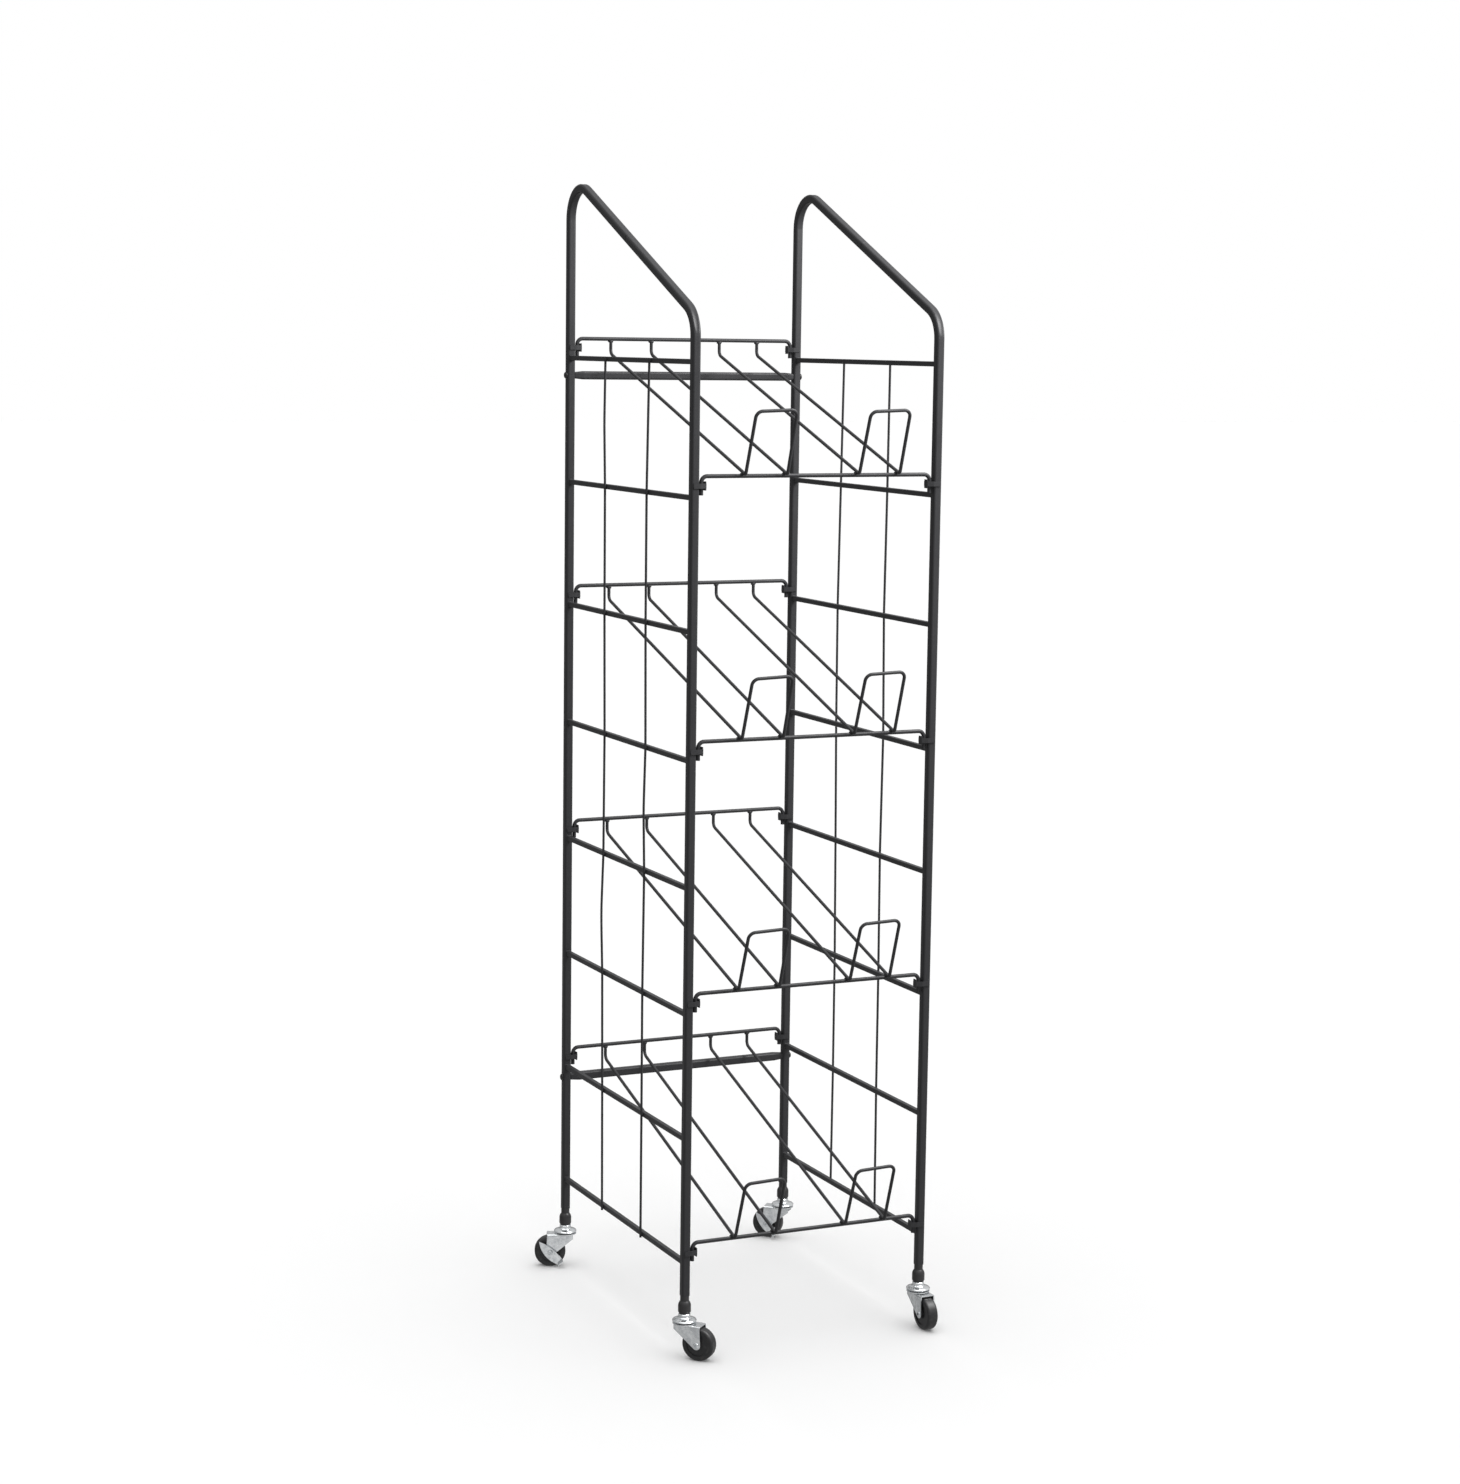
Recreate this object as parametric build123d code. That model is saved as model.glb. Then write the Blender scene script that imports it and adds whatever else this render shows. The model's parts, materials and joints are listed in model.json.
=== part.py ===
from build123d import *
import os
from math import atan2, cos, hypot, pi, radians, sin, tan

# A mobile newspaper rack. Two side frames of square steel tube stand like ladders, with a
# sloping top, and two cross braces join them behind. Four sloping wire shelves hang between
# them on bent pins in corner sockets, and the four feet carry swivel casters.
# Millimetres, +Z up. The front of the rack faces -Y, and left is -X.

# ---- side frames ----
POST_SPACING_X = 345.0        # left to right, between post centrelines
POST_SPACING_Y = 421.5        # front to rear, between post centrelines
TUBE = 11.4                   # outside of the square tube
TUBE_CORNER = 3.0
TUBE_WALL = 1.2
POST_FOOT_Z = 84.0            # lower end of the square tube
REAR_VERTEX_Z = {-1: 1538.8, 1: 1534.9}     # where each rear post and sloping top would meet
FRONT_VERTEX_Z = {-1: 1346.1, 1: 1347.0}    # the same for each front post
TUBE_BEND_RADIUS = 41.0       # of both bends, on the centreline
BEND_DENT = 0.8               # how far the outer wall sinks in at the middle of a bend
BEND_DENT_RADIUS = 9.0
BEND_DENT_CLEAR = 0.3         # and how far its cutter stands clear of the wall at the ends
SPLICE_PORTION = 0.488        # of the way from the rear post to the front post
SPLICE_SPIGOT = 40.0          # length of the front tube's reduced end inside the rear tube
SPIGOT_SLACK = 0.1
SPLICE_TAPER = 1.5            # both tube ends are chamfered, which leaves a groove at the splice
SPLICE_NECK = 1.0             # depth of that groove

# ---- ladder rungs and the upright wires outside them ----
RUNG = 6.6                    # square bar
RUNG_CORNER = 0.9
RUNG_COUNT = 8
TOP_RUNG_Z = 1288.3
UPPER_RUNG_PITCH = 169.5      # the two uppermost bays are a little taller
RUNG_PITCH = 164.4
UPPER_BAYS = 2
SIDE_WIRE_RADIUS = 1.6
SIDE_WIRE_OVERHANG = 1.0      # below the lowest rung
SIDE_WIRE_BEND = 300.0
# Each wire: its place, as a portion of the way from the rear post to the front post, and how
# far it wanders towards the rear at every rung, because the wires are laid by hand.
SIDE_WIRES = {
    "left_rear": (0.342, (5.0, 3.5, 2.0, -1.5, -0.5, 0.5, -2.5, -5.0)),
    "left_front": (0.675, (-3.0, 2.0, 1.5, -2.0, -1.5, 1.0, 0.0, -0.5)),
    "right_rear": (0.335, (-0.5, 2.7, 6.0, 4.0, -0.5, -4.5, -5.5, -4.5)),
    "right_front": (0.659, (0.0, 1.0, 3.5, -1.5, 1.2, -1.3, -1.8, -4.0)),
}
SIDE_WIRE_BOWS = {"left_rear": {0: 7.4, 4: 5.8}, "left_front": {3: 2.5}}    # the same, at mid bay

# ---- cross braces between the rear posts ----
UPPER_BRACE_DROP = 23.5       # below the top rung
LOWER_BRACE_DROP = 15.6       # below the seventh rung
LOWER_BRACE_RUNG = 6          # counted from 0 at the top
BRACE_TAPER_LENGTH = 13.0
BRACE_END_SIZE = 8.8
BRACE_PLUG_LENGTH = 16.0
BRACE_PLUG_CORNER = 0.6
SCREW_RADIUS = 2.4
SCREW_HEAD_RADIUS = 4.6
SCREW_HEAD_HEIGHT = 2.6
SCREW_LENGTH = 20.0           # from under the head
SCREW_SLOT = (4.6, 0.9, 1.2)  # cross recess: length, width, depth

# ---- shelves ----
SHELF_COUNT = 4
BAR_RADIUS = 2.65             # cross bars of a shelf
REAR_BAR_ABOVE_RUNG = (26.5, 25.1, 23.6, 25.9)     # a bar sits this far above its rung, by shelf
FRONT_BAR_ABOVE_RUNG = (27.2, 24.9, 27.2, 25.7)
BAR_BEND_RADIUS = 8.0
PIN_OFFSET = 10.0             # pin centre from the post centreline
PIN_TIP_DROP = 24.0           # pin tip below the bar centreline
WIRE_RADIUS = 2.2             # the looped wires of a shelf
WIRE_DROP = 20.2              # from the rear bar centreline to the first bend
WIRE_OVER_BAR = 5.2           # wire centreline above the front bar centreline
WIRE_NOSE = 9.0               # how far the wire runs on in front of the front bar
LOOP_LEGS = (84.5, 86.8)      # front stop loop, along its leaning legs, left and right
LOOP_LEAN = 19.3              # degrees forward from upright
LOOP_NARROWING = 1.0          # each leg leans in this much at the top
WIRE_DROP_BEND = 9.0
WIRE_NOSE_BEND = 3.2
LOOP_CORNER = 9.0
# Where each looped wire's two runs cross the bars, measured from the left posts.
LEFT_WIRE_AT_REAR = (60.0, 120.8)
LEFT_WIRE_AT_FRONT = (67.2, 125.8)
RIGHT_WIRE_AT_REAR = (224.7, 282.8)
RIGHT_WIRE_AT_FRONT = (228.1, 286.5)

# ---- corner sockets that hold the shelf pins ----
SOCKET_DROP = 12.1            # socket centre below the bar centreline
SOCKET_PLATE_HEIGHT = 11.4
SOCKET_LEG_HEIGHT = 6.4
SOCKET_STRIP = 1.3
SOCKET_REACH = 14.6           # middle of the outer plate from the post centreline
SOCKET_HALF_WIDTH = 4.2
SOCKET_LAP = 2.6              # how far the legs lap past the post centreline

# ---- casters ----
WHEEL_RADIUS = 22.0
WHEEL_WIDTH = 15.6
WHEEL_SHOULDER = 3.6
WHEEL_RECESS_DEPTH = 1.1
WHEEL_RECESS_RADIUS = 15.0
WHEEL_BOSS_RADIUS = 6.6
TRAIL = 21.6                  # axle behind the swivel axis
AXLE_RADIUS = 2.95
RUNNING_CLEARANCE = 0.05
FORK_SHEET = 1.6
FORK_INSIDE = 18.0            # between the legs
FORK_BEND = 2.6
CROWN_UNDERSIDE_Z = 46.0
CROWN_REAR = 10.8             # the crown reaches this far behind the swivel axis
CROWN_FRONT = 26.0            # and this far over the wheel
CROWN_DEPTH = 7.0             # height of the leg plates' straight top band
LEG_FOOT_RADIUS = 5.7
DISH_RADIUS = 15.6
DISH_THICKNESS = 2.2
PLATE_RADIUS = 15.9
PLATE_RIM_Z = 50.2
HUB_RADIUS = 8.0              # hub of the top plate, under the black socket
STEM_RADIUS = 3.9
STEM_TOP_Z = 100.0
KINGPIN_RADIUS = 3.0
KINGPIN_HEAD_RADIUS = 5.2
BALL_RADIUS = 1.75
BALL_RING_RADIUS = 9.4
BALL_COUNT = 12
RIVET_HEAD_RADIUS = 3.8
RIVET_HEAD_HEIGHT = 1.5
RIVET_HOLE_RADIUS = 1.7       # the rivets are hollow at their ends
RIVET_HOLE_DEPTH = 4.0
BULB_RADIUS = 8.5             # black stem socket at the post foot
BULB_FOOT_RADIUS = 6.3
BULB_BOTTOM_Z = 60.0
BULB_SIDES_Z = (63.0, 71.0)   # its sides are straight between these heights
BULB_TOP_Z = 77.0
BULB_SWELL = 0.5              # rounding of its shoulders beyond a straight cone
BULB_NECK_RADIUS = 5.9
BULB_PLUG_LENGTH = 20.0
CASTERS = {
    # name: (side, end, heading in degrees from +X, has a brake)
    "left_front": (-1, -1, -48.0, False),
    "right_front": (1, -1, -88.5, False),
    "left_rear": (-1, 1, 160.0, True),
    "right_rear": (1, 1, 140.0, True),
}

# ---- side brake levers of the rear casters ----
LEVER_SHEET = 1.4
LEVER_GAP = 0.4
LEVER_ANGLE = 45.0            # of its long axis above the trail direction
LEVER_TIP = 22.5              # from the axle to its upper tip
LEVER_TAIL = 21.0             # from the axle to its toe tab
LEVER_BELLY = 8.6
LEVER_BACK = 6.2
LEVER_RIB_HEIGHT = 3.0
LEVER_TAB_REACH = 7.5
LEVER_TAB_WIDTH = 9.0

HALF_X = POST_SPACING_X / 2
HALF_Y = POST_SPACING_Y / 2
AXLE_Z = WHEEL_RADIUS
SIDES = {"left": -1, "right": 1}


def rung_z(index):
    """Height of a rung's centreline, counted from 0 at the top."""
    upper = min(index, UPPER_BAYS)
    return TOP_RUNG_Z - upper * UPPER_RUNG_PITCH - (index - upper) * RUNG_PITCH


def bar_heights(shelf):
    """Heights of a shelf's rear and front bars, shelves counted from 0 at the top."""
    rear = rung_z(2 * shelf) + REAR_BAR_ABOVE_RUNG[shelf]
    front = rung_z(2 * shelf + 1) + FRONT_BAR_ABOVE_RUNG[shelf]
    return rear, front


def brace_heights():
    return TOP_RUNG_Z - UPPER_BRACE_DROP, rung_z(LOWER_BRACE_RUNG) - LOWER_BRACE_DROP


def sweep_along(path, section):
    """Sweep a flat section, drawn about its own origin, along a path."""
    start = Plane(origin=path @ 0, x_dir=(1, 0, 0), z_dir=path % 0)
    return sweep(start * section, path=path)


def sweep_round(path, radius):
    start = Plane(origin=path @ 0, z_dir=path % 0)
    return sweep(start * Circle(radius), path=path)


def square_tube(path, size, wall, corner):
    outer = sweep_along(path, RectangleRounded(size, size, corner))
    hollow = size - 2 * wall
    inner = sweep_along(path, RectangleRounded(hollow, hollow, corner - wall))
    return outer - inner


def turned(points):
    """Solid of revolution about Z from (radius, height) corner points."""
    outline = Polyline(*[(r, z) for r, z in points], close=True)
    return revolve(Plane.XZ * make_face(outline), Axis.Z)


def swelling(start, end, swell):
    """Profile arc that bulges to the right of the straight way from start to end."""
    run = end[0] - start[0]
    rise = end[1] - start[1]
    length = hypot(run, rise)
    middle = ((start[0] + end[0]) / 2 + rise / length * swell, (start[1] + end[1]) / 2 - run / length * swell)
    return ThreePointArc(start, middle, end)


def rod_x(radius, x0, x1, y, z):
    """Round bar along X between two places."""
    ends = Plane(origin=(min(x0, x1), y, z), x_dir=(0, 1, 0), z_dir=(1, 0, 0))
    return extrude(ends * Circle(radius), abs(x1 - x0))


# ---- side frames ----
def splice_point(side):
    y = HALF_Y - SPLICE_PORTION * POST_SPACING_Y
    fall = REAR_VERTEX_Z[side] - FRONT_VERTEX_Z[side]
    return y, REAR_VERTEX_Z[side] - fall * SPLICE_PORTION


def slope_step(side, length):
    """Y and Z steps of a length along the sloping top, towards the rear."""
    angle = atan2(REAR_VERTEX_Z[side] - FRONT_VERTEX_Z[side], POST_SPACING_Y)
    return length * cos(angle), length * sin(angle)


def along_slope(side, from_length, to_length):
    """Line along the sloping top between two distances behind the splice."""
    y, z = splice_point(side)
    ends = []
    for length in (from_length, to_length):
        dy, dz = slope_step(side, length)
        ends.append((side * HALF_X, y + dy, z + dz))
    return Line(*ends)


def screw_holes(side):
    holes = Part()
    for z in brace_heights():
        x = side * HALF_X
        holes += rod_x(SCREW_RADIUS, x - TUBE, x + TUBE, HALF_Y, z)
    return holes


def bend_dent(side, end, vertex_z):
    """Cutter that sinks the outer wall of a bend, most at its middle."""
    slope = atan2(REAR_VERTEX_Z[side] - FRONT_VERTEX_Z[side], POST_SPACING_Y)
    turn = pi / 2 + end * slope
    setback = TUBE_BEND_RADIUS * tan(turn / 2)
    centre_y = end * (HALF_Y - TUBE_BEND_RADIUS)
    centre_z = vertex_z - setback
    points = []
    for portion, sink in ((0.0, -BEND_DENT_CLEAR), (0.5, BEND_DENT), (1.0, -BEND_DENT_CLEAR)):
        reach = TUBE_BEND_RADIUS + TUBE / 2 + BEND_DENT_RADIUS - sink
        angle = turn * portion
        points.append((side * HALF_X, centre_y + end * reach * cos(angle), centre_z + reach * sin(angle)))
    return sweep_round(ThreePointArc(*points), BEND_DENT_RADIUS)


def chamfered_end(side, direction):
    """Cutter that chamfers a tube end all round, where it meets the other tube at the splice."""
    axis = along_slope(side, 0, 1)
    splice = Plane(origin=axis @ 0, x_dir=(1, 0, 0), z_dir=axis % 0)
    block = extrude(splice * Rectangle(2 * TUBE, 2 * TUBE), direction * SPLICE_TAPER)
    small = TUBE - 2 * SPLICE_NECK
    core = loft([
        splice * RectangleRounded(small, small, TUBE_CORNER - SPLICE_NECK),
        splice.offset(direction * SPLICE_TAPER) * RectangleRounded(TUBE, TUBE, TUBE_CORNER)])
    return block - core


def rear_post(side):
    x = side * HALF_X
    y, z = splice_point(side)
    path = FilletPolyline(
        (x, HALF_Y, POST_FOOT_Z), (x, HALF_Y, REAR_VERTEX_Z[side]), (x, y, z), radius=TUBE_BEND_RADIUS)
    post = square_tube(path, TUBE, TUBE_WALL, TUBE_CORNER) - screw_holes(side)
    return post - bend_dent(side, 1, REAR_VERTEX_Z[side]) - chamfered_end(side, 1)


def front_post(side):
    x = side * HALF_X
    y, z = splice_point(side)
    path = FilletPolyline(
        (x, -HALF_Y, POST_FOOT_Z), (x, -HALF_Y, FRONT_VERTEX_Z[side]), (x, y, z), radius=TUBE_BEND_RADIUS)
    post = square_tube(path, TUBE, TUBE_WALL, TUBE_CORNER) - bend_dent(side, -1, FRONT_VERTEX_Z[side])
    spigot_size = TUBE - 2 * TUBE_WALL - 2 * SPIGOT_SLACK
    spigot_path = along_slope(side, -SPLICE_TAPER, SPLICE_SPIGOT)
    spigot = square_tube(spigot_path, spigot_size, TUBE_WALL, TUBE_CORNER - TUBE_WALL)
    collar_path = along_slope(side, -SPLICE_TAPER, 0)
    collar_size = TUBE - TUBE_WALL
    collar = sweep_along(collar_path, RectangleRounded(collar_size, collar_size, TUBE_CORNER - TUBE_WALL / 2))
    bore = spigot_size - 2 * TUBE_WALL
    collar -= sweep_along(collar_path, Rectangle(bore, bore))
    return post + spigot + collar - chamfered_end(side, -1)


def rungs(side):
    group = []
    length = POST_SPACING_Y - TUBE
    for index in range(RUNG_COUNT):
        face = Plane(origin=(side * HALF_X, -length / 2, rung_z(index)), x_dir=(1, 0, 0), z_dir=(0, 1, 0))
        group.append(extrude(face * RectangleRounded(RUNG, RUNG, RUNG_CORNER), length))
    return group


def side_wire(side, label):
    """Upright wire on the outer side of the rungs, wandering a little on its way down."""
    portion, drifts = SIDE_WIRES[label]
    bows = SIDE_WIRE_BOWS.get(label, {})
    x = side * (HALF_X + RUNG / 2 + SIDE_WIRE_RADIUS)
    y = HALF_Y - portion * POST_SPACING_Y
    points = [(x, y + drifts[0], TOP_RUNG_Z + RUNG / 2)]
    for index in range(RUNG_COUNT - 1):
        if index in bows:
            points.append((x, y + bows[index], (rung_z(index) + rung_z(index + 1)) / 2))
        points.append((x, y + drifts[index + 1], rung_z(index + 1)))
    points[-1] = (x, y + drifts[-1], rung_z(RUNG_COUNT - 1) - RUNG / 2 - SIDE_WIRE_OVERHANG)
    return sweep_round(FilletPolyline(*points, radius=SIDE_WIRE_BEND), SIDE_WIRE_RADIUS)


# ---- cross braces ----
def brace(z):
    """Square tube between the rear posts, crimped smaller at both ends."""
    half = (POST_SPACING_X - TUBE) / 2
    body_half = half - BRACE_TAPER_LENGTH
    middle = Plane(origin=(-body_half, HALF_Y, z), x_dir=(0, 1, 0), z_dir=(1, 0, 0))
    outer = extrude(middle * RectangleRounded(TUBE, TUBE, TUBE_CORNER), 2 * body_half)
    hollow = TUBE - 2 * TUBE_WALL
    inner = extrude(middle * RectangleRounded(hollow, hollow, TUBE_CORNER - TUBE_WALL), 2 * body_half)
    tube = outer - inner
    for side in (-1, 1):
        wide = Plane(origin=(side * body_half, HALF_Y, z), x_dir=(0, 1, 0), z_dir=(side, 0, 0))
        narrow = Plane(origin=(side * half, HALF_Y, z), x_dir=(0, 1, 0), z_dir=(side, 0, 0))
        end_corner = TUBE_CORNER * BRACE_END_SIZE / TUBE
        shell = loft([
            wide * RectangleRounded(TUBE, TUBE, TUBE_CORNER),
            narrow * RectangleRounded(BRACE_END_SIZE, BRACE_END_SIZE, end_corner)])
        plug_space = BRACE_END_SIZE - 2 * TUBE_WALL
        cavity = loft([
            wide * RectangleRounded(hollow, hollow, TUBE_CORNER - TUBE_WALL),
            narrow * RectangleRounded(plug_space, plug_space, BRACE_PLUG_CORNER)])
        tube += shell - cavity
    return tube


def brace_plugs():
    """Threaded plugs in the brace ends that the screws pull against."""
    group = []
    half = (POST_SPACING_X - TUBE) / 2
    size = BRACE_END_SIZE - 2 * TUBE_WALL
    for z in brace_heights():
        for side in (-1, 1):
            start = side * half
            end = side * (half - BRACE_PLUG_LENGTH)
            face = Plane(origin=(start, HALF_Y, z), x_dir=(0, 1, 0), z_dir=(-side, 0, 0))
            block = extrude(face * RectangleRounded(size, size, BRACE_PLUG_CORNER), BRACE_PLUG_LENGTH)
            group.append(block - rod_x(SCREW_RADIUS, start, end, HALF_Y, z))
    return group


def brace_screws():
    group = []
    seat = HALF_X + TUBE / 2
    for z in brace_heights():
        for side in (-1, 1):
            shank = rod_x(SCREW_RADIUS, side * seat, side * (seat - SCREW_LENGTH), HALF_Y, z)
            head = rod_x(SCREW_HEAD_RADIUS, side * seat, side * (seat + SCREW_HEAD_HEIGHT), HALF_Y, z)
            rim = head.edges().filter_by(GeomType.CIRCLE).sort_by(Axis.X)
            outer_rim = rim[-1] if side > 0 else rim[0]
            head = fillet(outer_rim, SCREW_HEAD_HEIGHT * 0.8)
            length, width, depth = SCREW_SLOT
            slot_at = Pos(side * (seat + SCREW_HEAD_HEIGHT - depth / 2), HALF_Y, z) * Rot(20, 0, 0)
            cross = Box(depth, length, width) + Box(depth, width, length)
            group.append(shank + head - slot_at * cross)
    return group


# ---- shelf sockets ----
def socket(side, end, bar_z):
    """Folded strip that wraps the shelf pin and laps onto the post's front and rear faces."""
    lap_y = TUBE / 2 + SOCKET_STRIP / 2
    x_post = side * HALF_X
    inward = -side
    plan = [
        (-SOCKET_LAP, -lap_y), (TUBE / 2 + 1.0, -lap_y), (SOCKET_REACH, -SOCKET_HALF_WIDTH),
        (SOCKET_REACH, SOCKET_HALF_WIDTH), (TUBE / 2 + 1.0, lap_y), (-SOCKET_LAP, lap_y)]
    points = [(x_post + inward * px, end * HALF_Y + py) for px, py in plan]
    bottom = bar_z - SOCKET_DROP - SOCKET_LEG_HEIGHT / 2
    strip = trace(Polyline(*points), line_width=SOCKET_STRIP)
    folded = Pos(0, 0, bottom) * extrude(strip, SOCKET_LEG_HEIGHT)
    plate_at = Pos(x_post + inward * SOCKET_REACH, end * HALF_Y, bar_z - SOCKET_DROP)
    plate = plate_at * Box(SOCKET_STRIP, 2 * SOCKET_HALF_WIDTH, SOCKET_PLATE_HEIGHT)
    return folded + plate


def sockets(shelf):
    rear_z, front_z = bar_heights(shelf)
    return [socket(side, end, z) for end, z in ((1, rear_z), (-1, front_z)) for side in (-1, 1)]


# ---- shelves ----
def shelf_bar(end, z):
    """Cross bar with both ends bent down into pins."""
    y = end * HALF_Y
    x = HALF_X - PIN_OFFSET
    path = FilletPolyline(
        (-x, y, z - PIN_TIP_DROP), (-x, y, z), (x, y, z), (x, y, z - PIN_TIP_DROP),
        radius=BAR_BEND_RADIUS)
    return sweep_round(path, BAR_RADIUS)


def looped_wire(rear_z, front_z, at_rear, at_front):
    """One wire: down from the rear bar, over the front bar, round the stop loop and back."""
    drop_z = rear_z - WIRE_DROP
    slope = (drop_z - front_z - WIRE_OVER_BAR) / POST_SPACING_Y
    nose_y = -HALF_Y - WIRE_NOSE
    nose_z = front_z + WIRE_OVER_BAR - slope * WIRE_NOSE
    rear_x = [x - HALF_X for x in at_rear]
    front_x = [x - HALF_X for x in at_front]
    lean = radians(LOOP_LEAN)
    tops = []
    for x, leg, inward in zip(front_x, LOOP_LEGS, (LOOP_NARROWING, -LOOP_NARROWING)):
        tops.append((x + inward, nose_y - leg * sin(lean), nose_z + leg * cos(lean)))
    points = [
        (rear_x[0], HALF_Y, rear_z - BAR_RADIUS),
        (rear_x[0], HALF_Y, drop_z),
        (front_x[0], nose_y, nose_z),
        tops[0],
        tops[1],
        (front_x[1], nose_y, nose_z),
        (rear_x[1], HALF_Y, drop_z),
        (rear_x[1], HALF_Y, rear_z - BAR_RADIUS)]
    radii = (WIRE_DROP_BEND, WIRE_NOSE_BEND, LOOP_CORNER, LOOP_CORNER, WIRE_NOSE_BEND, WIRE_DROP_BEND)
    return sweep_round(FilletPolyline(*points, radius=radii), WIRE_RADIUS)


# ---- casters, built with the swivel axis on Z and the wheel towards +X ----
def wheel():
    body = Cylinder(WHEEL_RADIUS, WHEEL_WIDTH)
    body = fillet(body.edges().filter_by(GeomType.CIRCLE), WHEEL_SHOULDER)
    for face_side in (-1, 1):
        recess = Cylinder(WHEEL_RECESS_RADIUS, WHEEL_RECESS_DEPTH)
        recess -= Cylinder(WHEEL_BOSS_RADIUS, WHEEL_RECESS_DEPTH)
        body -= Pos(0, 0, face_side * (WHEEL_WIDTH - WHEEL_RECESS_DEPTH) / 2) * recess
    body -= Cylinder(AXLE_RADIUS + RUNNING_CLEARANCE, WHEEL_WIDTH)
    return Pos(TRAIL, 0, AXLE_Z) * Rot(90, 0, 0) * body


def axle(braked):
    """Rivet through the fork legs, longer on the braked side."""
    leg_face = FORK_INSIDE / 2 + FORK_SHEET
    far_face = leg_face + (2 * LEVER_GAP + LEVER_SHEET if braked else 0.0)
    pin = Pos(0, 0, (far_face - leg_face) / 2) * Cylinder(AXLE_RADIUS, far_face + leg_face)
    for face_side, face in ((1, far_face), (-1, leg_face)):
        head = Cylinder(RIVET_HEAD_RADIUS, RIVET_HEAD_HEIGHT)
        rims = head.edges().filter_by(GeomType.CIRCLE).sort_by(Axis.Z)
        head = fillet(rims[-1] if face_side > 0 else rims[0], RIVET_HEAD_HEIGHT * 0.8)
        pin += Pos(0, 0, face_side * (face + RIVET_HEAD_HEIGHT / 2)) * head
        hole_middle = face + RIVET_HEAD_HEIGHT - RIVET_HOLE_DEPTH / 2
        pin -= Pos(0, 0, face_side * hole_middle) * Cylinder(RIVET_HOLE_RADIUS, RIVET_HOLE_DEPTH)
    return Pos(TRAIL, 0, AXLE_Z) * Rot(-90, 0, 0) * pin


def fork_channel(half_width, top, corner):
    """Solid block with its top edges rounded, along the trail direction."""
    face = Plane(origin=(-PLATE_RADIUS, 0, 0), x_dir=(0, 1, 0), z_dir=(1, 0, 0))
    length = 3 * PLATE_RADIUS + TRAIL
    block = extrude(face * Pos(0, top / 2) * Rectangle(2 * half_width, top), length)
    upper = block.edges().filter_by(Axis.X).group_by(Axis.Z)[-1]
    return fillet(upper, corner)


def fork():
    top = CROWN_UNDERSIDE_Z + FORK_SHEET
    outer = fork_channel(FORK_INSIDE / 2 + FORK_SHEET, top, FORK_BEND)
    inner = fork_channel(FORK_INSIDE / 2, CROWN_UNDERSIDE_Z, FORK_BEND - FORK_SHEET)
    band_length = CROWN_REAR + CROWN_FRONT
    band_middle = (CROWN_FRONT - CROWN_REAR) / 2
    band = Pos(band_middle, top - CROWN_DEPTH / 2) * Rectangle(band_length, CROWN_DEPTH)
    foot = Pos(TRAIL, AXLE_Z) * Circle(LEG_FOOT_RADIUS)
    outline = make_hull((band + foot).edges())
    side_shape = extrude(Plane.XZ * outline, PLATE_RADIUS, both=True)
    body = (outer - inner) & side_shape
    dish_top = CROWN_UNDERSIDE_Z + DISH_THICKNESS
    dish = turned([
        (0, CROWN_UNDERSIDE_Z), (DISH_RADIUS - 2.0, CROWN_UNDERSIDE_Z), (DISH_RADIUS, CROWN_UNDERSIDE_Z + 0.9),
        (DISH_RADIUS, dish_top), (0, dish_top)])
    body += dish
    body -= Pos(0, 0, CROWN_UNDERSIDE_Z) * Cylinder(KINGPIN_RADIUS + RUNNING_CLEARANCE, 4 * FORK_SHEET)
    bore = Cylinder(AXLE_RADIUS, 2 * FORK_INSIDE)
    return body - Pos(TRAIL, 0, AXLE_Z) * Rot(90, 0, 0) * bore


def stem_plate():
    """Domed top plate with its hub and stem above and the kingpin, headed over, below."""
    head_top = CROWN_UNDERSIDE_Z - 0.3
    rim = PLATE_RIM_Z
    return turned([
        (0, head_top - 1.8), (KINGPIN_HEAD_RADIUS - 1.2, head_top - 1.8), (KINGPIN_HEAD_RADIUS, head_top - 0.9),
        (KINGPIN_HEAD_RADIUS, head_top), (KINGPIN_RADIUS, head_top), (KINGPIN_RADIUS, rim + 2.4),
        (BALL_RING_RADIUS + 1.0, rim + 2.4), (PLATE_RADIUS - 1.8, rim), (PLATE_RADIUS, rim),
        (PLATE_RADIUS, rim + 1.2), (PLATE_RADIUS - 0.8, rim + 2.1), (BALL_RING_RADIUS + 2.2, rim + 3.6),
        (HUB_RADIUS + 1.2, rim + 4.2), (HUB_RADIUS, rim + 5.2), (HUB_RADIUS, BULB_BOTTOM_Z - 1.0),
        (HUB_RADIUS - 0.8, BULB_BOTTOM_Z - 0.2), (STEM_RADIUS, BULB_BOTTOM_Z - 0.2),
        (STEM_RADIUS, STEM_TOP_Z - 1.0), (STEM_RADIUS - 1.0, STEM_TOP_Z), (0, STEM_TOP_Z)])


def balls():
    """Ring of bearing balls between the fork dish and the top plate."""
    height = CROWN_UNDERSIDE_Z + DISH_THICKNESS + BALL_RADIUS
    step = 360 / BALL_COUNT
    ball = Pos(BALL_RING_RADIUS, 0, height) * Sphere(BALL_RADIUS)
    return [Rot(0, 0, n * step) * ball for n in range(BALL_COUNT)]


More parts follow.
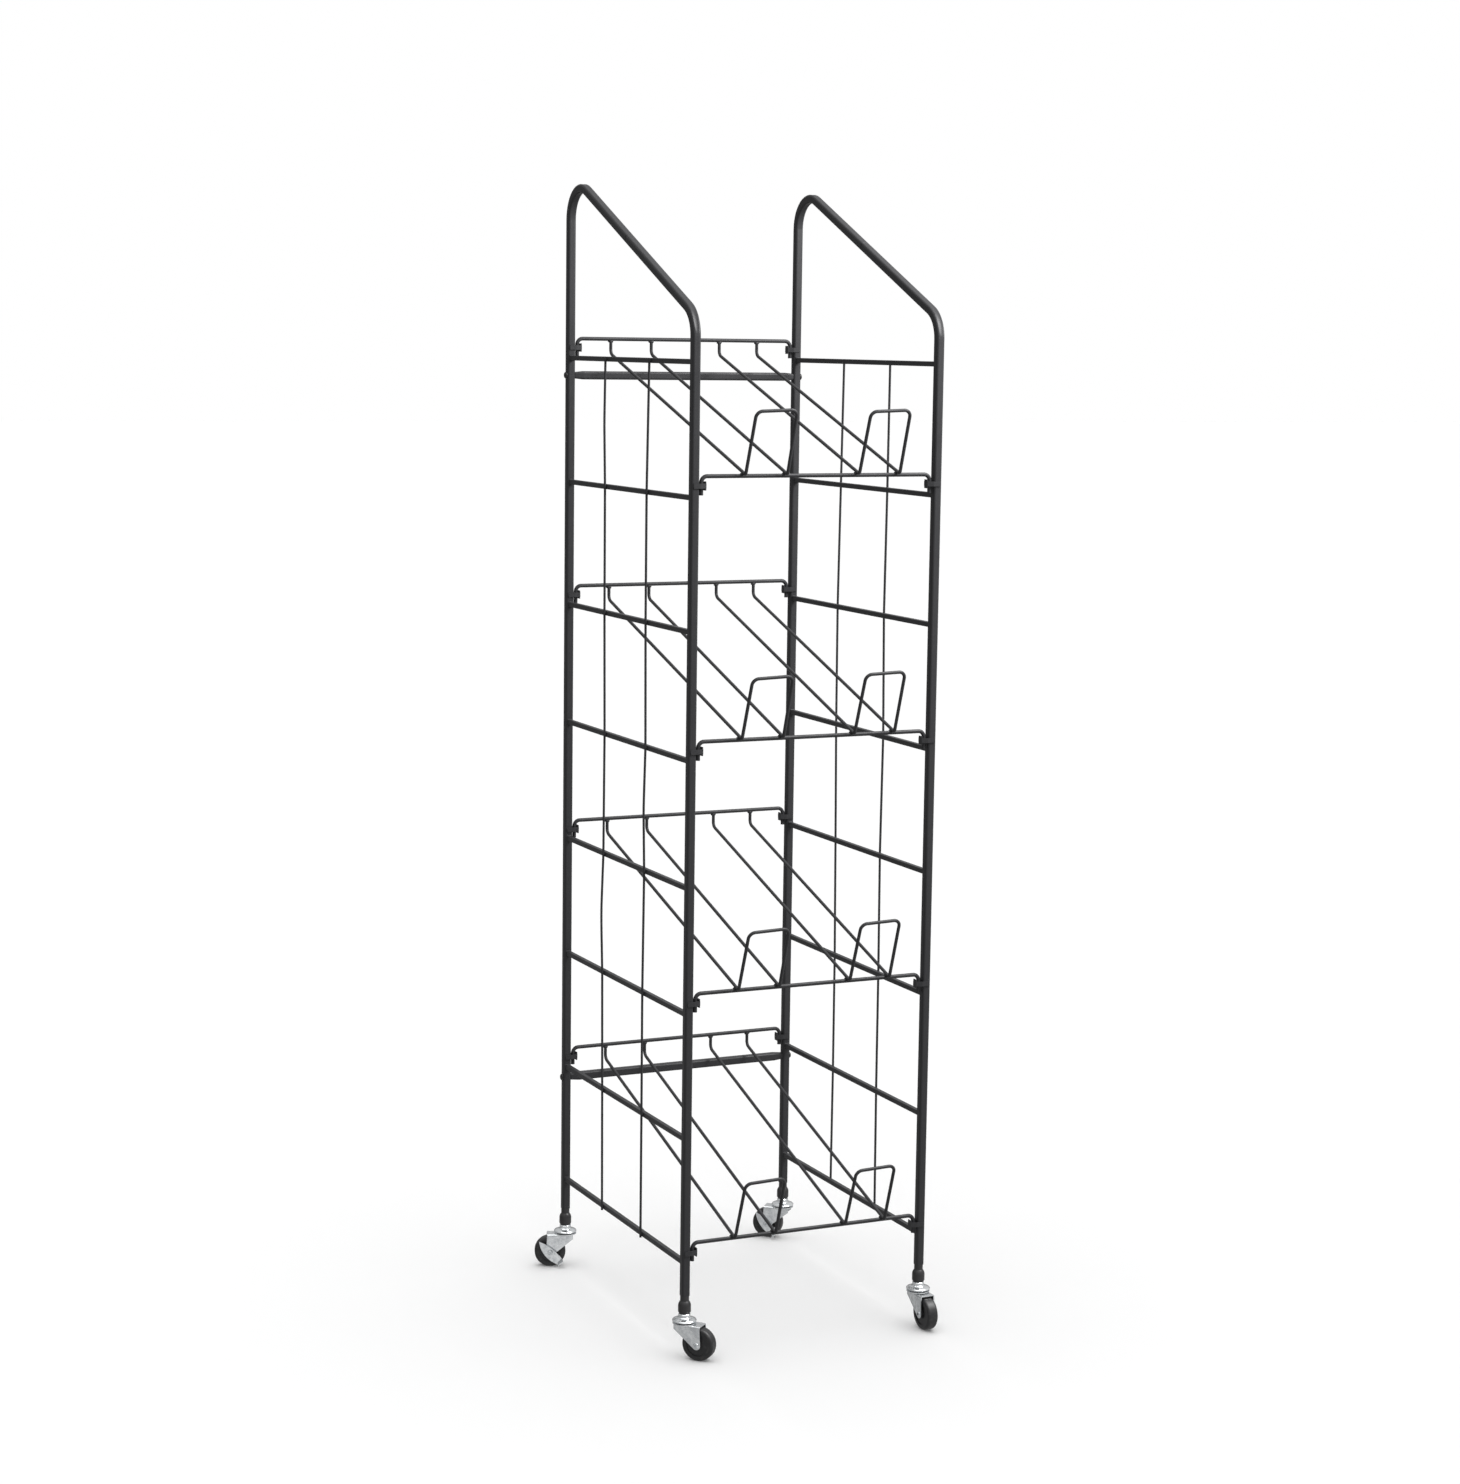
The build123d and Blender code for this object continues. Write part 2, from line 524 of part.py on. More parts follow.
def brake_lever():
    """Leaf-shaped pressing on the axle, with a rib along its back and a toe tab."""
    tail_half = LEVER_TAB_WIDTH / 2
    belly = ThreePointArc((-LEVER_TAIL, tail_half), (0, LEVER_BELLY), (LEVER_TIP, 0))
    back = ThreePointArc((LEVER_TIP, 0), (0, -LEVER_BACK), (-LEVER_TAIL, -tail_half))
    tail = Line((-LEVER_TAIL, -tail_half), (-LEVER_TAIL, tail_half))
    leaf = make_face(Wire([belly, back, tail]))
    inner_back = offset(leaf, -LEVER_SHEET)
    rib_zone = Pos(0, -LEVER_BACK) * Rectangle(2 * LEVER_TAIL - 2 * LEVER_TAB_WIDTH, LEVER_BACK)
    plate = extrude(leaf, LEVER_SHEET)
    rib = extrude((leaf - inner_back) & rib_zone, LEVER_RIB_HEIGHT + LEVER_SHEET)
    tab_at = Pos(-LEVER_TAIL + LEVER_SHEET / 2, 0, (LEVER_TAB_REACH + LEVER_SHEET) / 2)
    tab = tab_at * Box(LEVER_SHEET, LEVER_TAB_WIDTH, LEVER_TAB_REACH + LEVER_SHEET)
    lever = plate + rib + tab
    lever -= Cylinder(AXLE_RADIUS + RUNNING_CLEARANCE, 8 * LEVER_SHEET)
    inner_face = FORK_INSIDE / 2 + FORK_SHEET + LEVER_GAP
    upright = Plane(origin=(TRAIL, inner_face, AXLE_Z), x_dir=(1, 0, 0), z_dir=(0, 1, 0))
    return upright * Rot(0, 0, -LEVER_ANGLE) * lever


def caster_socket():
    """Black socket at the post foot: a bulb, a round neck and a plug in the tube."""
    low, high = BULB_SIDES_Z
    outline = Polyline((0, POST_FOOT_Z), (0, BULB_BOTTOM_Z), (BULB_FOOT_RADIUS, BULB_BOTTOM_Z))
    outline += swelling((BULB_FOOT_RADIUS, BULB_BOTTOM_Z), (BULB_RADIUS, low), BULB_SWELL)
    outline += Line((BULB_RADIUS, low), (BULB_RADIUS, high))
    outline += swelling((BULB_RADIUS, high), (BULB_NECK_RADIUS, BULB_TOP_Z), BULB_SWELL)
    outline += Polyline((BULB_NECK_RADIUS, BULB_TOP_Z), (BULB_NECK_RADIUS, POST_FOOT_Z), (0, POST_FOOT_Z))
    bulb = revolve(Plane.XZ * make_face(outline.edges()), Axis.Z)
    plug = TUBE - 2 * TUBE_WALL - 1.6
    insert = Pos(0, 0, POST_FOOT_Z + BULB_PLUG_LENGTH / 2) * Box(plug, plug, BULB_PLUG_LENGTH)
    return bulb + insert - Pos(0, 0, STEM_TOP_Z / 2) * Cylinder(STEM_RADIUS, STEM_TOP_Z)


def caster(name):
    side, end, heading, braked = CASTERS[name]
    place = Pos(side * HALF_X, end * HALF_Y, 0) * Rot(0, 0, heading)
    pieces = {
        "stem_plate": place * stem_plate(),
        "fork": place * fork(),
        "axle": place * axle(braked),
        "wheel": place * wheel(),
        "balls": [place * ball for ball in balls()],
    }
    if braked:
        pieces["brake_lever"] = place * brake_lever()
    return {f"{name}_caster_{key}": shape for key, shape in pieces.items()}


# ---- the whole rack ----
def build():
    nodes = {}
    for name, side in SIDES.items():
        nodes[f"{name}_rear_post"] = rear_post(side)
        nodes[f"{name}_front_post"] = front_post(side)
        nodes[f"{name}_rungs"] = rungs(side)
        nodes[f"{name}_rear_side_wire"] = side_wire(side, f"{name}_rear")
        nodes[f"{name}_front_side_wire"] = side_wire(side, f"{name}_front")
    upper_z, lower_z = brace_heights()
    nodes["upper_brace"] = brace(upper_z)
    nodes["lower_brace"] = brace(lower_z)
    nodes["brace_plugs"] = brace_plugs()
    nodes["brace_screws"] = brace_screws()
    for shelf in range(SHELF_COUNT):
        rear_z, front_z = bar_heights(shelf)
        label = f"shelf_{shelf + 1}"
        nodes[f"{label}_sockets"] = sockets(shelf)
        nodes[f"{label}_rear_bar"] = shelf_bar(1, rear_z)
        nodes[f"{label}_front_bar"] = shelf_bar(-1, front_z)
        nodes[f"{label}_left_wire"] = looped_wire(rear_z, front_z, LEFT_WIRE_AT_REAR, LEFT_WIRE_AT_FRONT)
        nodes[f"{label}_right_wire"] = looped_wire(rear_z, front_z, RIGHT_WIRE_AT_REAR, RIGHT_WIRE_AT_FRONT)
    foot_sockets = []
    for name, (side, end, heading, braked) in CASTERS.items():
        foot_sockets.append(Pos(side * HALF_X, end * HALF_Y, 0) * caster_socket())
        nodes.update(caster(name))
    nodes["caster_sockets"] = foot_sockets
    return nodes


def solids_of(shape):
    pieces = shape if isinstance(shape, list) else [shape]
    return [solid for piece in pieces for solid in piece.solids()]


def centred(nodes):
    """Move the rack so that its bounding box stands on the origin."""
    box = Compound(children=[solid for shape in nodes.values() for solid in solids_of(shape)]).bounding_box()
    shift = (-(box.min.X + box.max.X) / 2, -(box.min.Y + box.max.Y) / 2, -box.min.Z)
    moved = {name: [Pos(*shift) * solid for solid in solids_of(shape)] for name, shape in nodes.items()}
    return moved, shift, box.size


NODES, ORIGIN_SHIFT, OVERALL = centred(build())
os.makedirs("parts", exist_ok=True)
for node_name, node_solids in NODES.items():
    node_shape = node_solids[0] if len(node_solids) == 1 else Compound(children=node_solids)
    export_step(node_shape, f"parts/{node_name}.step")
print("nodes", len(NODES), "shift", [round(v, 4) for v in ORIGIN_SHIFT], "overall", OVERALL)
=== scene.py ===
import json
import math

import bmesh
import bpy
from mathutils import Matrix, Vector, noise


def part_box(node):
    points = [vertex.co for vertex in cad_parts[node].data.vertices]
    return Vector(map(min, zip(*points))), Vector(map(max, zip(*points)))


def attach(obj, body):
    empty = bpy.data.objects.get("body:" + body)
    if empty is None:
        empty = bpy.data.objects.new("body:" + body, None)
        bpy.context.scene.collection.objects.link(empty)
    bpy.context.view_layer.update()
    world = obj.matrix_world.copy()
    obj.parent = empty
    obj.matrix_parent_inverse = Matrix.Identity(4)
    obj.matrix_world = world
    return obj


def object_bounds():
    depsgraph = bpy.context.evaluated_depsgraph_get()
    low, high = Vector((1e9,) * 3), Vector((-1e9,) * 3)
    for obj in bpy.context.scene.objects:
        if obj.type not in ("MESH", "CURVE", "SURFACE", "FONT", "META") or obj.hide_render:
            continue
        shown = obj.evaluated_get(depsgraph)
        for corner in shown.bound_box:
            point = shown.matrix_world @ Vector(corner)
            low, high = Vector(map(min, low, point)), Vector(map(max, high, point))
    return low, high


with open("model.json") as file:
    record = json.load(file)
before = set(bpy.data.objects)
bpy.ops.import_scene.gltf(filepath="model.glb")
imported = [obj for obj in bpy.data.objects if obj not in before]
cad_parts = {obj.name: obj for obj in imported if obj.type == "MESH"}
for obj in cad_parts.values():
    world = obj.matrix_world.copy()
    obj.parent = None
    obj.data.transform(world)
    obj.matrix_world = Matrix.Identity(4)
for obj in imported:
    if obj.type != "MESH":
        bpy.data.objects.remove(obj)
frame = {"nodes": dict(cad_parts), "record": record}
cad_low, cad_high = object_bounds()
RECORD = frame["record"]
NODES = frame["nodes"]
MM = 0.001

# ---- camera: in front at the left, looking a little down on the rack ----
LENS_MM = 71.74
SENSOR_MM = 36.0
CAMERA_OFFSET = Vector((-1.6867, -3.6026, 1.3170))     # from the middle of the rack, at floor level
CAMERA_YAW = 24.82        # degrees from +Y towards +X
CAMERA_PITCH = 7.76       # degrees below the horizon
CAMERA_ROLL = 0.76

# ---- light ----
BRIGHT_SIDE = (0.38, -0.62, 0.69)   # direction of the studio's brightest part
STUDIO_DIM = 0.42
STUDIO_BRIGHT = 0.92
STUDIO_FALL = (-0.8, 0.9)           # cosines to BRIGHT_SIDE where the light is dimmest and brightest
STUDIO_HORIZON = 0.35     # share of that light left at eye level, which the zinc shows as dark lines
STUDIO_HORIZON_HEIGHT = 0.22        # sine of the angle from the horizon where the light is full
BACKDROP = 1.0
OVERHEAD_POWER = 1.0
OVERHEAD_SOFTNESS = 60.0            # degrees across
KEY_OFFSET = (1.0, -0.9, 1.35)      # from the middle of the rack
KEY_SIZE = (0.9, 0.9)
KEY_POWER = 62.0

# ---- welds: half sizes along X, Y and Z, except RUNG_BEAD ----
RUNG_BEAD = 0.95 * MM               # radius of the bead round a rung's end
WIRE_WELD = (1.5 * MM, 2.3 * MM, 2.2 * MM)
REAR_BAR_WELD = (4.2 * MM, 2.5 * MM, 2.3 * MM)
FRONT_BAR_WELD = (2.9 * MM, 3.3 * MM, 2.0 * MM)
LAP_WELD = (1.2 * MM, 0.8 * MM, 3.0 * MM)
SHELVES = (1, 2, 3, 4)
BEAD_AROUND = 32                    # corners of a square bead's path
BEAD_ACROSS = 8                     # corners of its section
BEAD_ROUNDNESS = 0.4                # 1 is a circle, 0 a sharp square
BEAD_LUMPS = 0.35                   # share by which the bead's thickness varies
BEAD_LUMP_SCALE = 2.3
BLOB_LUMPS = 0.28
BLOB_LUMP_SCALE = 1.7
REAR_CUT = 1.6                      # bar thicknesses below its top where the wires are found
REAR_WELD_SINK = 0.2                # share of the weld's half height that it sits lower
FLOOR_HALF_SIZE = 40.0
FLOOR_COLOUR = (0.95, 0.95, 0.95, 1.0)
WHITE = (1.0, 1.0, 1.0, 1.0)
CAMERA_REACH = 200.0


# ---------------------------------------------------------------- node helpers
def new_material(name):
    material = bpy.data.materials.new(name)
    material.use_nodes = True
    tree = material.node_tree
    tree.nodes.clear()
    shader = tree.nodes.new("ShaderNodeBsdfPrincipled")
    output = tree.nodes.new("ShaderNodeOutputMaterial")
    tree.links.new(shader.outputs["BSDF"], output.inputs["Surface"])
    return material, tree, shader


def object_noise(tree, scale, detail=3.0, rough=0.5):
    """Noise in the object's own coordinates, with scale in cells per metre."""
    coords = tree.nodes.new("ShaderNodeTexCoord")
    texture = tree.nodes.new("ShaderNodeTexNoise")
    texture.inputs["Scale"].default_value = scale
    texture.inputs["Detail"].default_value = detail
    texture.inputs["Roughness"].default_value = rough
    tree.links.new(coords.outputs["Object"], texture.inputs["Vector"])
    return texture.outputs["Fac"]


def remap(tree, value, low, high, out_low, out_high):
    node = tree.nodes.new("ShaderNodeMapRange")
    node.inputs["From Min"].default_value = low
    node.inputs["From Max"].default_value = high
    node.inputs["To Min"].default_value = out_low
    node.inputs["To Max"].default_value = out_high
    tree.links.new(value, node.inputs["Value"])
    return node.outputs["Result"]


def multiply(tree, first, second):
    node = tree.nodes.new("ShaderNodeMath")
    node.operation = "MULTIPLY"
    tree.links.new(first, node.inputs[0])
    tree.links.new(second, node.inputs[1])
    return node.outputs["Value"]


def blend_colours(tree, factor, first, second):
    node = tree.nodes.new("ShaderNodeMix")
    node.data_type = "RGBA"
    node.inputs["A"].default_value = (*first, 1.0)
    node.inputs["B"].default_value = (*second, 1.0)
    tree.links.new(factor, node.inputs["Factor"])
    return node.outputs["Result"]


def bump(tree, shader, height, distance, strength=1.0, under=None):
    node = tree.nodes.new("ShaderNodeBump")
    node.inputs["Distance"].default_value = distance
    node.inputs["Strength"].default_value = strength
    tree.links.new(height, node.inputs["Height"])
    if under is not None:
        tree.links.new(under, node.inputs["Normal"])
    tree.links.new(node.outputs["Normal"], shader.inputs["Normal"])
    return node.outputs["Normal"]


# ---------------------------------------------------------------- materials
def powder_coat():
    """Satin black powder coat: orange peel, fine speckle and a slight unevenness in gloss."""
    material, tree, shader = new_material("black_powder_coat")
    speckle = object_noise(tree, scale=2600.0, detail=2.0)
    fleck = remap(tree, speckle, 0.56, 0.74, 0.0, 1.0)
    colour = blend_colours(tree, fleck, (0.025, 0.025, 0.027), (0.056, 0.056, 0.058))
    tree.links.new(colour, shader.inputs["Base Color"])
    cloudy = object_noise(tree, scale=45.0, detail=4.0)
    tree.links.new(remap(tree, cloudy, 0.3, 0.7, 0.38, 0.48), shader.inputs["Roughness"])
    shader.inputs["Specular IOR Level"].default_value = 0.22
    peel = object_noise(tree, scale=620.0, detail=2.0)
    normal = bump(tree, shader, peel, distance=0.00012, strength=0.7)
    bump(tree, shader, speckle, distance=0.00003, strength=0.6, under=normal)
    return material


def black_socket():
    """Glossier black over a swaged steel socket."""
    material, tree, shader = new_material("black_socket")
    cloudy = object_noise(tree, scale=160.0, detail=4.0)
    colour = blend_colours(tree, cloudy, (0.010, 0.010, 0.011), (0.024, 0.023, 0.024))
    tree.links.new(colour, shader.inputs["Base Color"])
    tree.links.new(remap(tree, cloudy, 0.3, 0.7, 0.30, 0.44), shader.inputs["Roughness"])
    grain = object_noise(tree, scale=900.0, detail=3.0)
    bump(tree, shader, grain, distance=0.00010, strength=0.7)
    return material


def black_screw():
    material, tree, shader = new_material("black_screw")
    cloudy = object_noise(tree, scale=900.0, detail=3.0)
    colour = blend_colours(tree, cloudy, (0.016, 0.016, 0.017), (0.034, 0.033, 0.032))
    tree.links.new(colour, shader.inputs["Base Color"])
    shader.inputs["Metallic"].default_value = 0.35
    tree.links.new(remap(tree, cloudy, 0.3, 0.7, 0.30, 0.42), shader.inputs["Roughness"])
    bump(tree, shader, cloudy, distance=0.00002, strength=0.5)
    return material


def zinc_plate():
    """Bright zinc plating on pressed sheet: faint spangle, drawing marks and dulled patches."""
    material, tree, shader = new_material("zinc_plate")
    patches = object_noise(tree, scale=130.0, detail=5.0, rough=0.6)
    dulled = remap(tree, patches, 0.35, 0.7, 0.0, 1.0)
    colour = blend_colours(tree, dulled, (0.80, 0.82, 0.83), (0.58, 0.60, 0.62))
    tree.links.new(colour, shader.inputs["Base Color"])
    shader.inputs["Metallic"].default_value = 1.0
    fine = object_noise(tree, scale=1500.0, detail=4.0, rough=0.6)
    tree.links.new(remap(tree, patches, 0.3, 0.75, 0.14, 0.30), shader.inputs["Roughness"])
    normal = bump(tree, shader, patches, distance=0.0003, strength=0.35)
    bump(tree, shader, fine, distance=0.00002, strength=0.5, under=normal)
    return material


def plain_steel(name, roughness):
    material, tree, shader = new_material(name)
    marks = object_noise(tree, scale=1200.0, detail=3.0)
    colour = blend_colours(tree, marks, (0.50, 0.50, 0.51), (0.66, 0.66, 0.67))
    tree.links.new(colour, shader.inputs["Base Color"])
    shader.inputs["Metallic"].default_value = 1.0
    tree.links.new(remap(tree, marks, 0.3, 0.7, roughness, roughness + 0.1), shader.inputs["Roughness"])
    bump(tree, shader, marks, distance=0.00001, strength=0.5)
    return material


def wheel_rubber():
    """Hard black rubber wheel, a little dusty, with fine moulding texture."""
    material, tree, shader = new_material("caster_wheel")
    dust = object_noise(tree, scale=210.0, detail=5.0, rough=0.65)
    dusty = remap(tree, dust, 0.5, 0.8, 0.0, 1.0)
    colour = blend_colours(tree, dusty, (0.011, 0.011, 0.012), (0.045, 0.043, 0.042))
    tree.links.new(colour, shader.inputs["Base Color"])
    tree.links.new(remap(tree, dust, 0.3, 0.75, 0.38, 0.55), shader.inputs["Roughness"])
    grain = object_noise(tree, scale=1800.0, detail=3.0)
    bump(tree, shader, grain, distance=0.00005, strength=0.7)
    return material


MATERIALS = {
    "black_powder_coat": powder_coat(),
    "black_socket": black_socket(),
    "black_screw": black_screw(),
    "zinc_plate": zinc_plate(),
    "bare_steel": plain_steel("bare_steel", 0.34),
    "bearing_steel": plain_steel("bearing_steel", 0.14),
    "caster_wheel": wheel_rubber(),
}


def dress(obj, slot_name):
    obj.data.materials.clear()
    obj.data.materials.append(MATERIALS[slot_name])


def dress_cad_nodes():
    for part in RECORD["subparts"]:
        dress(NODES[part["node"]], part["material_slot"])


# ---------------------------------------------------------------- mesh helpers
def islands(node):
    """Boxes of the separate solids in a CAD node, as (low, high) pairs."""
    mesh = NODES[node].data
    parent = list(range(len(mesh.vertices)))

    def root(i):
        while parent[i] != i:
            parent[i] = parent[parent[i]]
            i = parent[i]
        return i

    seen = {}
    for vertex in mesh.vertices:
        key = tuple(round(c, 6) for c in vertex.co)
        if key in seen:
            parent[root(vertex.index)] = root(seen[key])
        else:
            seen[key] = vertex.index
    for edge in mesh.edges:
        a, b = (root(v) for v in edge.vertices)
        parent[a] = b
    boxes = {}
    for vertex in mesh.vertices:
        key = root(vertex.index)
        low, high = boxes.get(key, (vertex.co.copy(), vertex.co.copy()))
        boxes[key] = (Vector(map(min, low, vertex.co)), Vector(map(max, high, vertex.co)))
    return sorted(boxes.values(), key=lambda pair: (-round(pair[0].z, 4), pair[0].x, pair[0].y))


def crossings(node, axis, value):
    """Points where the edges of a CAD node cross a plane square to one axis."""
    mesh = NODES[node].data
    points = []
    for edge in mesh.edges:
        first, second = (mesh.vertices[v].co for v in edge.vertices)
        if (first[axis] - value) * (second[axis] - value) < 0:
            points.append(first.lerp(second, (value - first[axis]) / (second[axis] - first[axis])))
    return points


def middle(points):
    """Middle of the box round some points."""
    low = Vector(min(p[i] for p in points) for i in range(3))
    high = Vector(max(p[i] for p in points) for i in range(3))
    return (low + high) / 2


def left_and_right(points):
    """Middles of the two runs of a looped wire that cross a plane."""
    split = middle(points).x
    return [middle([p for p in points if (p.x > split) == right]) for right in (False, True)]


def weld_blob(bm, place, radii, seed):
    """A small lumpy bead of weld metal."""
    made = bmesh.ops.create_icosphere(bm, subdivisions=2, radius=1.0)
    for vertex in made["verts"]:
        spot = vertex.co * BLOB_LUMP_SCALE + Vector((seed, 2.0 * seed, 0.5))
        lump = 1.0 + BLOB_LUMPS * noise.noise(spot)
        vertex.co = Vector(place) + Vector(c * r for c, r in zip(vertex.co * lump, radii))


def squared(value):
    """A coordinate of a point on a circle, pushed outwards towards a square."""
    return math.copysign(abs(value) ** BEAD_ROUNDNESS, value)


def square_bead(bm, place, half, radius, seed):
    """A lumpy bead that runs round the end of a square bar lying along Y."""
    rings = []
    for i in range(BEAD_AROUND):
        turn = 2 * math.pi * i / BEAD_AROUND
        out = Vector((squared(math.cos(turn)), 0.0, squared(math.sin(turn))))
        spine = Vector(place) + out * half
        spot = out * BEAD_LUMP_SCALE + Vector((seed, 0.0, 2.0 * seed))
        thick = radius * (1.0 + BEAD_LUMPS * noise.noise(spot))
        ring = []
        for j in range(BEAD_ACROSS):
            lean = 2 * math.pi * j / BEAD_ACROSS
            offset = out.normalized() * math.cos(lean) + Vector((0.0, 1.0, 0.0)) * math.sin(lean)
            ring.append(bm.verts.new(spine + offset * thick))
        rings.append(ring)
    for i in range(BEAD_AROUND):
        near, far = rings[i], rings[(i + 1) % BEAD_AROUND]
        for j in range(BEAD_ACROSS):
            k = (j + 1) % BEAD_ACROSS
            bm.faces.new((near[j], far[j], far[k], near[k]))
    bmesh.ops.recalc_face_normals(bm, faces=bm.faces)


def finish_detail(bm, name, body, slot_name):
    mesh = bpy.data.meshes.new(name)
    bm.to_mesh(mesh)
    bm.free()
    for polygon in mesh.polygons:
        polygon.use_smooth = True
    obj = bpy.data.objects.new(name, mesh)
    bpy.context.scene.collection.objects.link(obj)
    dress(obj, slot_name)
    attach(obj, body)
    return obj


# ---------------------------------------------------------------- welds
def rung_welds(side):
    """Beads where each rung meets its two posts, and blobs where the upright wires cross it."""
    bm = bmesh.new()
    for seed, (low, high) in enumerate(islands(f"{side}_rungs")):
        centre = (low + high) / 2
        half = (high.z - low.z) / 2
        for y in (low.y, high.y):
            square_bead(bm, (centre.x, y, centre.z), half, RUNG_BEAD, seed + y)
        for end in ("rear", "front"):
            points = crossings(f"{side}_{end}_side_wire", 2, centre.z - half / 2)
            wire = middle(points)
            seam = (wire.x + centre.x + math.copysign(half, wire.x - centre.x)) / 2
            weld_blob(bm, (seam, wire.y, centre.z), WIRE_WELD, seed + wire.y)
    return finish_detail(bm, f"{side}_rung_welds", "frame", "black_powder_coat")


def shelf_welds(number):
    """Blobs where the looped wires meet the rear bar and rest on the front bar."""
    bm = bmesh.new()
    rear_low, rear_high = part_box(f"shelf_{number}_rear_bar")
    front_low, front_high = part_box(f"shelf_{number}_front_bar")
    bar = rear_high.y - rear_low.y
    for side in ("left", "right"):
        wire = f"shelf_{number}_{side}_wire"
        for place in left_and_right(crossings(wire, 2, rear_high.z - REAR_CUT * bar)):
            top = (place.x, place.y, rear_high.z - bar - REAR_WELD_SINK * REAR_BAR_WELD[2])
            weld_blob(bm, top, REAR_BAR_WELD, place.x)
        front_y = (front_low.y + front_high.y) / 2
        for place in left_and_right(crossings(wire, 1, front_y)):
            seam = (place.x, front_y + FRONT_BAR_WELD[1] / 3, (place.z + front_high.z - bar / 2) / 2)
            weld_blob(bm, seam, FRONT_BAR_WELD, place.x)
    return finish_detail(bm, f"shelf_{number}_welds", f"shelf_{number}", "black_powder_coat")


def socket_welds(number):
    """Short beads where each socket's two laps end on the front and rear faces of the post."""
    bm = bmesh.new()
    posts = [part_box(f"{side}_{end}_post") for side in ("left", "right") for end in ("rear", "front")]
    for seed, (low, high) in enumerate(islands(f"shelf_{number}_sockets")):
        centre = (low + high) / 2
        post_low, post_high = min(posts, key=lambda pair: (pair[0].x + pair[1].x - 2 * centre.x) ** 2)
        tip = low.x if centre.x > (post_low.x + post_high.x) / 2 else high.x
        for y in (low.y, high.y):
            inset = LAP_WELD[1] if y < centre.y else -LAP_WELD[1]
            weld_blob(bm, (tip, y + inset, centre.z), LAP_WELD, seed + y)
    return finish_detail(bm, f"shelf_{number}_socket_welds", "frame", "black_powder_coat")


def welds():
    pieces = [rung_welds(side) for side in ("left", "right")]
    for number in SHELVES:
        pieces.append(shelf_welds(number))
        pieces.append(socket_welds(number))
    return pieces


# ---------------------------------------------------------------- floor, light, camera
def floor():
    """Flat pale floor with a matt finish, which shows in no reflection and lights nothing."""
    material, tree, shader = new_material("studio_floor")
    shader.inputs["Base Color"].default_value = FLOOR_COLOUR
    shader.inputs["Roughness"].default_value = 0.9
    bm = bmesh.new()
    bmesh.ops.create_grid(bm, x_segments=1, y_segments=1, size=FLOOR_HALF_SIZE)
    mesh = bpy.data.meshes.new("studio_floor")
    bm.to_mesh(mesh)
    bm.free()
    mesh.materials.append(material)
    obj = bpy.data.objects.new("studio_floor", mesh)
    obj.visible_glossy = False
    obj.visible_diffuse = False
    bpy.context.scene.collection.objects.link(obj)


def world_light():
    """White backdrop for the camera; as a light, bright in front at the right and dim behind."""
    world = bpy.data.worlds.new("studio")
    bpy.context.scene.world = world
    world.use_nodes = True
    tree = world.node_tree
    tree.nodes.clear()
    coords = tree.nodes.new("ShaderNodeTexCoord")
    along = tree.nodes.new("ShaderNodeVectorMath")
    along.operation = "DOT_PRODUCT"
    along.inputs[1].default_value = BRIGHT_SIDE
    tree.links.new(coords.outputs["Generated"], along.inputs[0])
    studio = tree.nodes.new("ShaderNodeBackground")
    studio.inputs["Color"].default_value = WHITE
    strength = remap(tree, along.outputs["Value"], *STUDIO_FALL, STUDIO_DIM, STUDIO_BRIGHT)
    separate = tree.nodes.new("ShaderNodeSeparateXYZ")
    tree.links.new(coords.outputs["Generated"], separate.inputs["Vector"])
    height = multiply(tree, separate.outputs["Z"], separate.outputs["Z"])
    horizon = remap(tree, height, 0.0, STUDIO_HORIZON_HEIGHT ** 2, STUDIO_HORIZON, 1.0)
    tree.links.new(multiply(tree, strength, horizon), studio.inputs["Strength"])
    backdrop = tree.nodes.new("ShaderNodeBackground")
    backdrop.inputs["Color"].default_value = WHITE
    backdrop.inputs["Strength"].default_value = BACKDROP
    path = tree.nodes.new("ShaderNodeLightPath")
    choose = tree.nodes.new("ShaderNodeMixShader")
    output = tree.nodes.new("ShaderNodeOutputWorld")
    tree.links.new(path.outputs["Is Camera Ray"], choose.inputs["Fac"])
    tree.links.new(studio.outputs["Background"], choose.inputs[1])
    tree.links.new(backdrop.outputs["Background"], choose.inputs[2])
    tree.links.new(choose.outputs["Shader"], output.inputs["Surface"])


def overhead_light():
    """One broad, very soft light from straight above, the same over the whole floor."""
    lamp = bpy.data.lights.new("overhead", "SUN")
    lamp.energy = OVERHEAD_POWER
    lamp.angle = math.radians(OVERHEAD_SOFTNESS)
    bpy.context.scene.collection.objects.link(bpy.data.objects.new("overhead", lamp))


